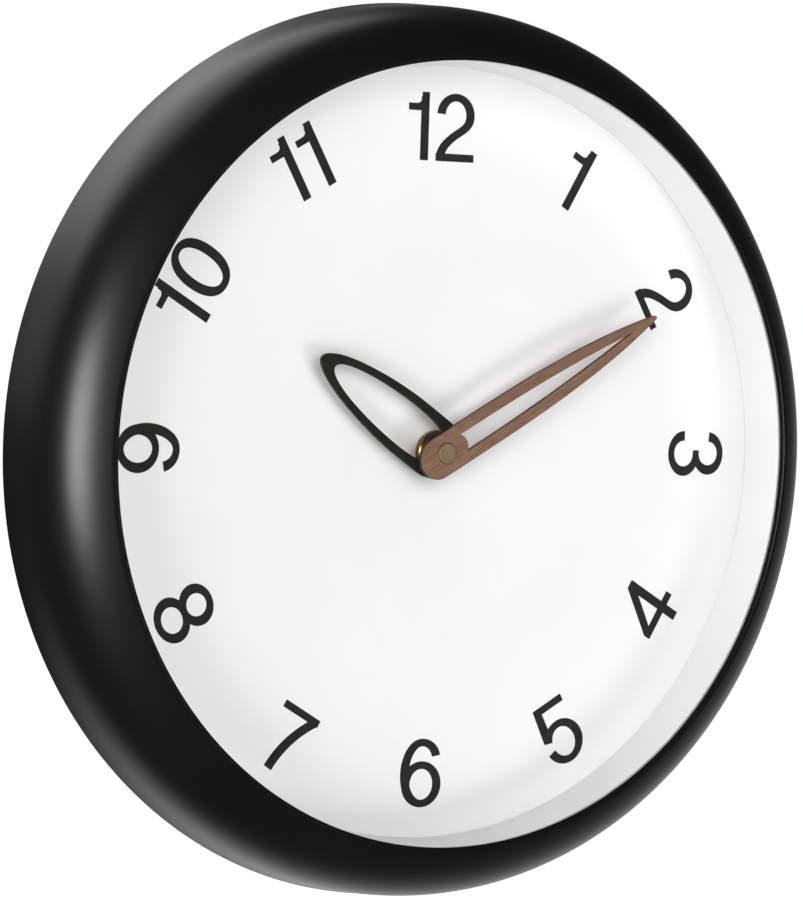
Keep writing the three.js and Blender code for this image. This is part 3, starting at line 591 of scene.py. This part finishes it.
def stroke(points):
    """Four-sided cells along a centre line, as wide as a pen whose tip is an upright ellipse."""
    edges = []
    for i, (x, z) in enumerate(points):
        ahead = Vector(points[min(i + 1, len(points) - 1)]) - Vector(points[max(i - 1, 0)])
        ahead.normalize()
        dx, dz = -ahead.y * PEN_X, ahead.x * PEN_Z
        edges.append(((x + dx, z + dz), (x - dx, z - dz)))
    return [[a[0], b[0], b[1], a[1]] for a, b in zip(edges, edges[1:])]


def bar(x0, x1, z0, z1):
    return [[(x0, z0), (x1, z0), (x1, z1), (x0, z1)]]


def superellipse(cx, cz, rx, rz, power, count=64):
    points = []
    for k in range(count + 1):
        c, s = math.cos(TAU * k / count), math.sin(TAU * k / count)
        x = math.copysign(abs(c) ** (2 / power), c)
        z = math.copysign(abs(s) ** (2 / power), s)
        points.append((cx + rx * x, cz + rz * z))
    return points


def ring(points):
    """A stroke that closes on itself."""
    cells = stroke(points[-3:-1] + points + points[1:3])
    return cells[2:-2]


def six():
    bowl = ring(arc(0.368, 0.327, 0.272, 0.285, 0, 360, 48))
    hook = arc(0.371, 0.70, 0.25, 0.247, 10, 90, 14) + arc(0.371, 0.46, 0.297, 0.487, 90, 180, 18)[1:]
    return bowl + stroke(hook + arc(0.371, 0.46, 0.297, 0.418, 180, 262, 18)[1:])


def figure(digit):
    """The cells of one figure, one unit high, from x = 0 to its width."""
    if digit == 0:
        return ring(superellipse(0.346, 0.5, 0.272, 0.4535, 2.25))
    if digit == 1:
        sweep = [(0.15, 0.832)] + arc(0.145, 0.922, 0.085, 0.09, -75, 0, 8)
        flag = [(0, 0.726), (0.26, 0.726), (0.26, 0.99), (0.23, 0.99), *reversed(sweep), (0, 0.832)]
        return [flag, *bar(0.2155, 0.357, 0, 0.93), *bar(0.23, 0.357, 0.92, 1)]
    if digit == 2:
        top = arc(0.335, 0.68, 0.254, 0.2635, 177, 0, 30)
        fall = bezier((0.589, 0.68), (0.589, 0.49), (0.42, 0.46), (0.27, 0.34), 16)
        foot = bezier((0.27, 0.34), (0.15, 0.245), (0.074, 0.17), (0.074, 0.0), 16)
        return stroke(top + fall[1:] + foot[1:]) + bar(0.0, 0.664, 0, 0.115)
    if digit == 3:
        upper = arc(0.34, 0.727, 0.254, 0.226, 177, -90, 36) + [(0.293, 0.501)]
        lower = arc(0.345, 0.27, 0.27, 0.231, 90, -184, 40)
        return stroke(upper) + stroke(lower)
    if digit == 4:
        slope = [(0, 0.231), (0, 0.345), (0.463, 1), (0.54, 1), (0.54, 0.868), (0.164, 0.345), (0.164, 0.231)]
        return [slope, *bar(0, 0.784, 0.231, 0.35), *bar(0.466, 0.608, 0, 1)]
    if digit == 5:
        bowl = arc(0.353, 0.327, 0.273, 0.288, 160, -168, 40)
        stem = [(0.067, 1), (0.2, 1), (0.185, 0.5), (0.18, 0.44), (0.024, 0.46)]
        return [stem, *bar(0.067, 0.625, 0.885, 1), *stroke(bowl)]
    if digit == 6:
        return six()
    if digit == 7:
        fall = bezier((0.60, 0.93), (0.41, 0.68), (0.27, 0.38), (0.24, 0.0), 24)
        corner = [(0.5, 1), (0.671, 1), (0.671, 0.93), (0.6, 0.83), (0.5, 0.86)]
        return [corner, *bar(0, 0.671, 0.885, 1), *stroke(fall)]
    if digit == 8:
        upper = ring(arc(0.346, 0.717, 0.2405, 0.219, 0, 360, 44))
        return upper + ring(arc(0.343, 0.27, 0.269, 0.228, 0, 360, 48))
    return [[(0.714 - x, 1 - z) for x, z in cell] for cell in six()]


# For each hour: its figures with where each starts, and the height of its foot, both in mm
# from the middle of the number.
NUMBERS = {
    1: ([(1, -5.4)], -10.8),
    2: ([(2, -8.8)], -10.9),
    3: ([(3, -8.6)], -11.3),
    4: ([(4, -9.7)], -7.8),
    5: ([(5, -8.1)], -12.6),
    6: ([(6, -9.2)], -10.7),
    7: ([(7, -6.0)], -12.4),
    8: ([(8, -8.9)], -10.7),
    9: ([(9, -7.8)], -10.7),
    10: ([(1, -13.8), (0, -2.6)], -10.6),
    11: ([(1, -10.4), (1, 0.4)], -10.5),
    12: ([(1, -14.2), (2, -3.2)], -10.6),
}


def make_number(hour):
    figures, foot = NUMBERS[hour]
    points, cells = [], []
    for digit, start in figures:
        for cell in figure(digit):
            area = sum(a[0] * b[1] - a[1] * b[0] for a, b in zip(cell, cell[1:] + cell[:1]))
            cell = cell if area > 0 else cell[::-1]
            cells.append(list(range(len(points), len(points) + len(cell))))
            points += [Vector((start + x * NUMBER_H, foot + z * NUMBER_H)) for x, z in cell]
    flat, _, faces, _, _, sources = delaunay_2d_cdt(points, [], cells, 0, 1e-4)
    faces = [face for face, source in zip(faces, sources) if source]
    turn = TAU * hour / 12
    centre = Vector((NUMBER_R * math.sin(turn), NUMBER_R * math.cos(turn)))
    spin = turn - TAU / 2 if 3 < hour < 9 else turn
    verts = []
    for y in (-INK_T, 0.005):
        for p in flat:
            x = centre.x + p.x * math.cos(spin) + p.y * math.sin(spin)
            z = centre.y - p.x * math.sin(spin) + p.y * math.cos(spin)
            verts.append(Vector((x, y, z)) * MM)
    count = len(flat)
    edges = dict.fromkeys((a, b) for face in faces for a, b in zip(face, face[1:] + face[:1]))
    sides = [[a, b, b + count, a + count] for a, b in edges if (b, a) not in edges]
    shell = [list(f) for f in faces] + [[i + count for i in reversed(f)] for f in faces] + sides
    return keep(finish_mesh(f"number_{hour}", verts, shell, INK), "case", "dial_white")


for hour in NUMBERS:
    make_number(hour)

# ---------------------------------------------------------------- hands

HOUR_ANGLE = math.radians(303.3)
MINUTE_ANGLE = math.radians(60.2)
HOUR_FRONT, HOUR_T = -4.9, 1.3
MINUTE_FRONT, MINUTE_T = -8.2, 1.6
CAP_R, CAP_T = 3.3, 0.5
# Half widths of each loop and its slot, and how far from the hand axis its tail's centre lies.
HOUR_W, HOUR_SLOT_W, HOUR_TAIL, HOUR_BORE, HOUR_HUB = 10.45, 7.5, 3.9, 3.4, 7.03
MINUTE_W, MINUTE_SLOT_W, MINUTE_TAIL, MINUTE_BORE = 6.8, 3.1, -3.8, 3.5
# Where the hour hand's slot starts and is widest, and where the minute hand's slot starts.
HOUR_SLOT_FROM, HOUR_SLOT_WIDEST, MINUTE_SLOT_FROM = 3.65, 15.5, 7.6


def leaf(u, width, start, length, rise, close=1.0):
    """Half width of a leaf at u along it: full up to start, then falling to nothing over length."""
    return width * (1 - max(0.0, (u - start) / length) ** rise) ** close


def mirrored(half):
    return [(-x, z) for x, z in reversed(half)]


def hour_outlines():
    def half(u):
        return leaf(u, HOUR_W, 15.6, 40.9, 1.6, 0.52)

    def slot_half(u):
        if u < HOUR_SLOT_WIDEST:
            return HOUR_SLOT_W * math.sqrt(1 - ((HOUR_SLOT_WIDEST - u) / 20.3) ** 2)
        return leaf(u, HOUR_SLOT_W, HOUR_SLOT_WIDEST, 35.1, 1.8, 0.5)

    steps = 72
    length = 52.6
    along = [HOUR_TAIL + length * (1 - (1 - k / steps) ** 1.6) for k in range(1, steps)]
    outer = arc(0, HOUR_TAIL, HOUR_W, HOUR_W, -90, 0, 24)
    outer += [(half(u), u) for u in along] + [(0, HOUR_TAIL + length)]
    outer += mirrored(outer[1:-1])
    corner = math.atan2(slot_half(HOUR_SLOT_FROM), HOUR_SLOT_FROM)
    turns = [corner * k / 12 for k in range(-11, 12)]
    bulge = [(HOUR_HUB * math.sin(a), HOUR_HUB * math.cos(a)) for a in turns]
    along = [HOUR_SLOT_FROM + 46.95 * math.sin(TAU / 4 * k / steps) for k in range(steps + 1)]
    edge = [(slot_half(u), u) for u in along]
    return [outer, bulge + edge + mirrored(edge[:-1]), circle(HOUR_BORE)]


def minute_outlines():
    def half(u):
        return leaf(u, MINUTE_W, 6.5, 92.2, 3)

    def slot_half(u):
        return leaf(u, MINUTE_SLOT_W, MINUTE_SLOT_FROM, slot, 2.3)

    steps = 64
    length, slot = 99.1, 76.6
    outer = arc(0, MINUTE_TAIL, MINUTE_W, MINUTE_W, -90, 0, 24)
    along = [MINUTE_TAIL + length * (k / steps) ** 0.8 for k in range(1, steps + 1)]
    outer += [(half(u), u) for u in along] + [(0.45, 95.75), (0, 95.95)]
    outer += mirrored(outer[1:-1])
    shares = [k / 10 for k in range(-9, 10)]
    bulge = [(MINUTE_SLOT_W * t, MINUTE_SLOT_FROM + 1.4 * (1 - t * t)) for t in shares]
    along = [MINUTE_SLOT_FROM + slot * (k / steps) ** 0.8 for k in range(steps + 1)]
    edge = [(slot_half(u), u) for u in along]
    return [outer, bulge + edge + mirrored(edge[:-1]), circle(MINUTE_BORE)]


def make_hands():
    hour = slab(
        "hour_hand_loop",
        hour_outlines(),
        HOUR_FRONT,
        HOUR_FRONT + HOUR_T,
        BLACK_WOOD,
        bevel=0.12,
        angle=HOUR_ANGLE,
    )
    keep(hour, "hour_hand_set", "black_wood", "hour_hand")
    minute = slab(
        "minute_hand_loop",
        minute_outlines(),
        MINUTE_FRONT,
        MINUTE_FRONT + MINUTE_T,
        WALNUT,
        bevel=0.12,
        angle=MINUTE_ANGLE,
    )
    keep(minute, "minute_hand_set", "walnut", "minute_hand")


make_hands()


def make_cap():
    front, seat = MINUTE_FRONT - CAP_T, MINUTE_FRONT + 0.1
    profile = [(0, front), (CAP_R, front, 0.25), (CAP_R, seat, 0.05), (0, seat)]
    cap = lathe("cap", rounded(profile, 0.1, 5, False), CAP_BRASS, 96)
    return keep(cap, "minute_hand_set", "cap_brass", "hand_cap")


make_cap()

NUT_R = 7.56
NUT_BORE = 4.15
NUT_T = 3


def make_nut():
    rear, front = -0.1, -NUT_T - 0.1
    profile = [
        (NUT_BORE, front, 0.15),
        (NUT_R - 0.66, front, 0.15),
        (NUT_R, front + 0.55, 0.3),
        (NUT_R, rear - 0.3, 0.3),
        (NUT_R - 0.36, rear, 0.1),
        (NUT_BORE, rear, 0.1),
    ]
    return keep(lathe("nut", rounded(profile, 0.1, 4), NUT_BRASS, 128), "case", "nut_brass", "dial_nut")


make_nut()

# ---------------------------------------------------------------- back

COVER_FRONT = 16
COVER_BACK = 18
HANGER_Z = 118


def around(radius, count, first):
    """Places evenly round the hand axis; first is the angle of the first one, in degrees."""
    turns = [math.radians(first + 360 / count * k) for k in range(count)]
    return [(radius * math.cos(a), radius * math.sin(a)) for a in turns]


COVER_R = 146
COVER_SCREWS = around(142.2, 6, 30)
DIAL_SCREWS = around(136, 4, 45)
HANGER_SCREWS = [(-17, HANGER_Z), (17, HANGER_Z)]
WINDOW = 29  # half of the opening round the movement
HANGER_FRONT = COVER_BACK + 0.1
HANGER_T = 0.9


def keyhole(r, half_slot, rise):
    """A round hole with a round-ended slot that rises from it."""
    meet = math.degrees(math.asin(half_slot / r))
    slot_end = arc(0, HANGER_Z + rise, half_slot, half_slot, 0, 180, 16)
    return arc(0, HANGER_Z, r, r, 90 + meet, 450 - meet, 36) + slot_end


def make_cover():
    outlines = [circle(COVER_R, count=240), rounded_rect(-WINDOW, WINDOW, -WINDOW, WINDOW, 3)]
    outlines.append(keyhole(6.6, 4.8, 10))
    outlines += [circle(1.7, x, z, 24) for x, z in COVER_SCREWS]
    outlines += [circle(1.2, x, z, 24) for x, z in HANGER_SCREWS]
    cover = slab("cover", outlines, COVER_FRONT, COVER_BACK, COVER, bevel=0.25, sharp=20)
    return keep(cover, "case", "cover_black", "back_cover")


def make_hanger():
    outlines = [rounded_rect(-24, 24, HANGER_Z - 10, HANGER_Z + 16, 5), keyhole(4.6, 2.4, 9)]
    outlines += [circle(1.4, x, z, 24) for x, z in HANGER_SCREWS]
    hanger = slab("hanger", outlines, HANGER_FRONT, HANGER_FRONT + HANGER_T, STEEL, bevel=0.12, sharp=20)
    return keep(hanger, "case", "zinc_steel", "hanger_plate")


make_cover()
make_hanger()


def cross_cutter(half, thick, front, back, x, z):
    """Two crossed prisms that cut a screw's recess, shorter at its foot."""
    tools = []
    corners = ((-1, -1), (1, -1), (1, 1), (-1, 1))
    for wide, tall in ((half, thick), (thick, half)):
        verts = []
        for y, share in ((front, 0.6), (back, 1.0)):
            w = wide * (share if wide == half else 1)
            t = tall * (share if tall == half else 1)
            verts += [Vector((x + a * w, y, z + b * t)) * MM for a, b in corners]
        faces = [[0, 1, 2, 3], [7, 6, 5, 4]]
        faces += [[i, (i + 1) % 4, (i + 1) % 4 + 4, i + 4] for i in range(4)]
        tools.append(finish_mesh("cutter", verts, faces, STEEL))
    return tools


def subtract(piece, tools):
    for tool in tools:
        modifier = piece.modifiers.new("cut", "BOOLEAN")
        modifier.operation = "DIFFERENCE"
        modifier.object = tool
    graph = bpy.context.evaluated_depsgraph_get()
    mesh = bpy.data.meshes.new_from_object(piece.evaluated_get(graph))
    piece.modifiers.clear()
    piece.data = mesh
    for tool in tools:
        bpy.data.objects.remove(tool)
    mesh.set_sharp_from_angle(angle=math.radians(35))


def make_screw(node, head_r, head_t, shank_r, length, seat, x, z):
    """A domed pan head with a cross recess over a shank with a few turns of thread."""
    profile = [(0, seat - length), (shank_r * 0.3, seat - length)]
    pitch = shank_r * 0.55
    turns = int((length - shank_r) / pitch)
    for k in range(turns):
        y = seat - length + shank_r * 0.6 + k * pitch
        profile += [(shank_r * 0.78, y), (shank_r, y + pitch * 0.4), (shank_r * 0.78, y + pitch * 0.6)]
    profile += [(shank_r * 0.9, seat), (head_r, seat)]
    profile += arc(head_r - head_t * 0.5, seat + head_t * 0.5, head_t * 0.5, head_t * 0.5, 0, 60, 6)
    profile += [(head_r * 0.4, seat + head_t * 0.98), (0, seat + head_t)]
    screw = lathe(node + "_turned", profile, STEEL, 40, (x, z), 25)
    foot, top = seat + head_t * 0.35, seat + head_t + 0.5
    subtract(screw, cross_cutter(head_r * 0.55, head_r * 0.14, foot, top, x, z))
    keep(screw, "case", "zinc_steel", node)


for k, place in enumerate(COVER_SCREWS):
    make_screw(f"cover_screw_{k + 1}", 3, 1.8, 1.2, 11, COVER_BACK + 0.1, *place)
for k, place in enumerate(DIAL_SCREWS):
    make_screw(f"dial_screw_{k + 1}", 2.1, 1.3, 1.1, 8, DIAL_T + 0.1, *place)
for k, place in enumerate(HANGER_SCREWS):
    make_screw(f"hanger_screw_{k + 1}", 2.4, 1.0, 0.95, 5, HANGER_FRONT + 1, *place)

PAD_R = 6
PAD_PLACES = [(-78, -104), (78, -104)]


def make_pads():
    front, rear = COVER_BACK + 0.1, HALF_DEPTH - 0.1
    profile = [(0, front), (PAD_R, front, 0.1), (PAD_R, rear - 0.4, 0.4), (PAD_R - 0.8, rear, 0.5), (0, rear)]
    for k, place in enumerate(PAD_PLACES):
        pad = lathe(f"pad_{k + 1}", rounded(profile, 0.2, 4, False), RUBBER, 64, place)
        keep(pad, "case", "pad_rubber", f"bumper_{k + 1}")


make_pads()

# ---------------------------------------------------------------- relief on the movement's back

MOVE_BACK = 18.6
RELIEF_T = 0.5
KNOB = sum(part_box("setting_knob"), Vector()) / 2 / MM


def make_relief():
    """A collar and a turning arrow round the knob, plus and minus by the bay, and a plain frame."""
    x, z = KNOB.x, KNOB.z
    start, bend, tip = (math.radians(a) for a in (112, 158, 96))
    shaft = arc(x, z, 10.4, 10.4, math.degrees(start), math.degrees(bend), 20)
    shaft += arc(x, z, 9.4, 9.4, math.degrees(bend), math.degrees(start), 20)
    root = (x + 10 * math.cos(start), z + 10 * math.sin(start))
    point = (x + 10 * math.cos(tip), z + 10 * math.sin(tip))
    head = [(root[0] - 0.6, root[1] - 2.0), point, (root[0] + 0.9, root[1] + 2.3)]
    shapes = {
        "knob_collar": [circle(8, x, z, 96), circle(7.2, x, z, 96)],
        "arrow_shaft": [shaft],
        "arrow_head": [head],
        "mark_minus": [rounded_rect(-24, -20, -9, -8.1, 0.3)],
        "mark_plus": [rounded_rect(20, 24, -9, -8.1, 0.3)],
        "mark_plus_upright": [rounded_rect(21.55, 22.45, -10.5, -6.6, 0.3)],
        "plain_frame": [rounded_rect(-24, 2, -2, 23, 2), rounded_rect(-23.2, 1.2, -1.2, 22.2, 1.4)],
    }
    for name, outlines in shapes.items():
        piece = slab(name, outlines, MOVE_BACK - 0.05, MOVE_BACK + RELIEF_T, MOVEMENT, bevel=0.08)
        keep(piece, "case", "movement_black")


make_relief()

# ---------------------------------------------------------------- battery


def make_cell():
    """The AA cell lies along X with its plus end to +X."""
    end = CELL_L / 2
    foot, shoulder = 0.35 - end, end - 1.45
    profile = [(0, -end), (6.2, -end, 0.2), (6.2, foot, 0.1), (CELL_R, foot, 0.5)]
    profile += [(CELL_R, shoulder, 0.6), (2.75, shoulder, 0.2), (2.75, end, 0.4), (0, end)]
    cell = lathe("cell", rounded(profile, 0.1, 4, False), cell_jacket(), 96)
    middle = sum(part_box("battery_cell"), Vector()) / 2
    cell.matrix_world = Matrix.Translation(middle) @ Matrix.Rotation(-TAU / 4, 4, "Z")
    keep(cell, "battery_set", "cell_jacket", "battery_cell")


make_cell()

# ---------------------------------------------------------------- CAD nodes that keep their shape

KEPT = {
    "movement_front": MOVEMENT,
    "movement_rear": MOVEMENT,
    "setting_knob": NYLON,
    "dial_washer": RUBBER,
    "hour_bush": BUSH_BRASS,
    "minute_bush": BUSH_BRASS,
    "threaded_bush": BUSH_BRASS,
    "hour_wheel": BUSH_BRASS,
    "centre_wheel": BUSH_BRASS,
    "minute_arbor": STEEL,
    "clutch_spring": STEEL,
    "stator_plate": STEEL,
    "coil_core": STEEL,
    "contact_plus": STEEL,
    "contact_minus": STEEL,
    "minute_wheel": NYLON,
    "third_wheel": NYLON,
    "seconds_wheel": NYLON,
    "intermediate_wheel": NYLON,
    "train_bridge": NYLON,
    "coil_bobbin": NYLON,
    "coil_winding": COPPER,
    "rotor": MAGNET,
    "circuit_board": BOARD,
    "quartz_can": CAN,
    "chip_blob": CHIP,
}

for node, material in KEPT.items():
    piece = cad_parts[node]
    piece.data.materials.clear()
    piece.data.materials.append(material)
    if node.startswith("movement"):
        soft = piece.modifiers.new("soft_edges", "BEVEL")
        soft.width = 0.3 * MM
        soft.segments = 2
        soft.angle_limit = math.radians(40)
        soft.harden_normals = True

# ---------------------------------------------------------------- floor, light and background

FLOOR_Z = -0.6
FLOOR_HALF = 30


def make_floor():
    """A pale floor that glows white. It stops no light, because two lamps stand below it."""
    n = Nodes("floor_paper")
    glow = n.principled((0.9, 0.9, 0.9), 0.9, Emission_Strength=1.0, Emission_Color=(1, 1, 1, 1))
    corners = ((-1, -1), (1, -1), (1, 1), (-1, 1))
    verts = [(x * FLOOR_HALF, y * FLOOR_HALF, FLOOR_Z) for x, y in corners]
    mesh = bpy.data.meshes.new("floor")
    mesh.from_pydata(verts, [], [(0, 1, 2, 3)])
    floor = bpy.data.objects.new("floor", mesh)
    scene.collection.objects.link(floor)
    mesh.materials.append(glow)
    floor.visible_glossy = False
    floor.visible_diffuse = False
    floor.visible_shadow = False


make_floor()


def softbox(name, azimuth, elevation, distance, width, height, power):
    """A rectangular lamp that faces the clock. Azimuth 0 is straight in front, + is to the right;
    it and elevation are in degrees, distance, width and height in metres, power in watts."""
    data = bpy.data.lights.new(name, "AREA")
    data.shape = "RECTANGLE"
    data.size, data.size_y = width, height
    data.energy = power
    lamp = bpy.data.objects.new(name, data)
    scene.collection.objects.link(lamp)
    a, e = math.radians(azimuth), math.radians(elevation)
    place = Vector((math.sin(a) * math.cos(e), -math.cos(a) * math.cos(e), math.sin(e))) * distance
    lamp.location = place
    lamp.rotation_euler = place.to_track_quat("Z", "Y").to_euler()
    return lamp


softbox("key", 42, -28, 1.7, 0.5, 0.5, 8).visible_glossy = False
softbox("low_fill", 0, -52, 1.9, 1.0, 1.0, 5).visible_glossy = False
softbox("front_fill", 6, 14, 1.9, 2.0, 1.8, 23).visible_glossy = False
softbox("high_left", -38, 28, 1.9, 1.0, 1.0, 6).visible_glossy = False
softbox("left_fill", -70, -12, 2.2, 1.6, 1.6, 42).visible_glossy = False
# These three light nothing: they only show as soft reflections in the black case and the brass.
softbox("left_strip", -62, 1, 1.5, 0.6, 0.8, 45).visible_diffuse = False
softbox("high_back", -163, 52, 1.7, 1.7, 1.6, 18).visible_diffuse = False
softbox("left_back", -145, 24, 1.7, 1.2, 1.2, 3).visible_diffuse = False


def make_world():
    """White to the camera. To the clock it is dim in front and brighter behind, below and right."""
    world = bpy.data.worlds.new("studio")
    world.use_nodes = True
    scene.world = world
    tree = world.node_tree
    tree.nodes.clear()
    add = tree.nodes.new
    out = add("ShaderNodeOutputWorld")
    seen, lit = add("ShaderNodeBackground"), add("ShaderNodeBackground")
    seen.inputs["Color"].default_value = (1, 1, 1, 1)
    lit.inputs["Color"].default_value = (1, 1, 1, 1)
    coords = add("ShaderNodeTexCoord")
    toward = add("ShaderNodeVectorMath")
    toward.operation = "DOT_PRODUCT"
    toward.inputs[1].default_value = (0.5, 0.7, -0.5)
    tree.links.new(coords.outputs["Generated"], toward.inputs[0])
    level = add("ShaderNodeMapRange")
    level.interpolation_type = "SMOOTHSTEP"
    for key, value in zip(("From Min", "From Max", "To Min", "To Max"), (0.55, 1.0, 0.06, 1.1)):
        level.inputs[key].default_value = value
    tree.links.new(toward.outputs["Value"], level.inputs["Value"])
    tree.links.new(level.outputs["Result"], lit.inputs["Strength"])
    path, pick = add("ShaderNodeLightPath"), add("ShaderNodeMixShader")
    tree.links.new(path.outputs["Is Camera Ray"], pick.inputs[0])
    tree.links.new(lit.outputs[0], pick.inputs[1])
    tree.links.new(seen.outputs[0], pick.inputs[2])
    tree.links.new(pick.outputs[0], out.inputs[0])


make_world()
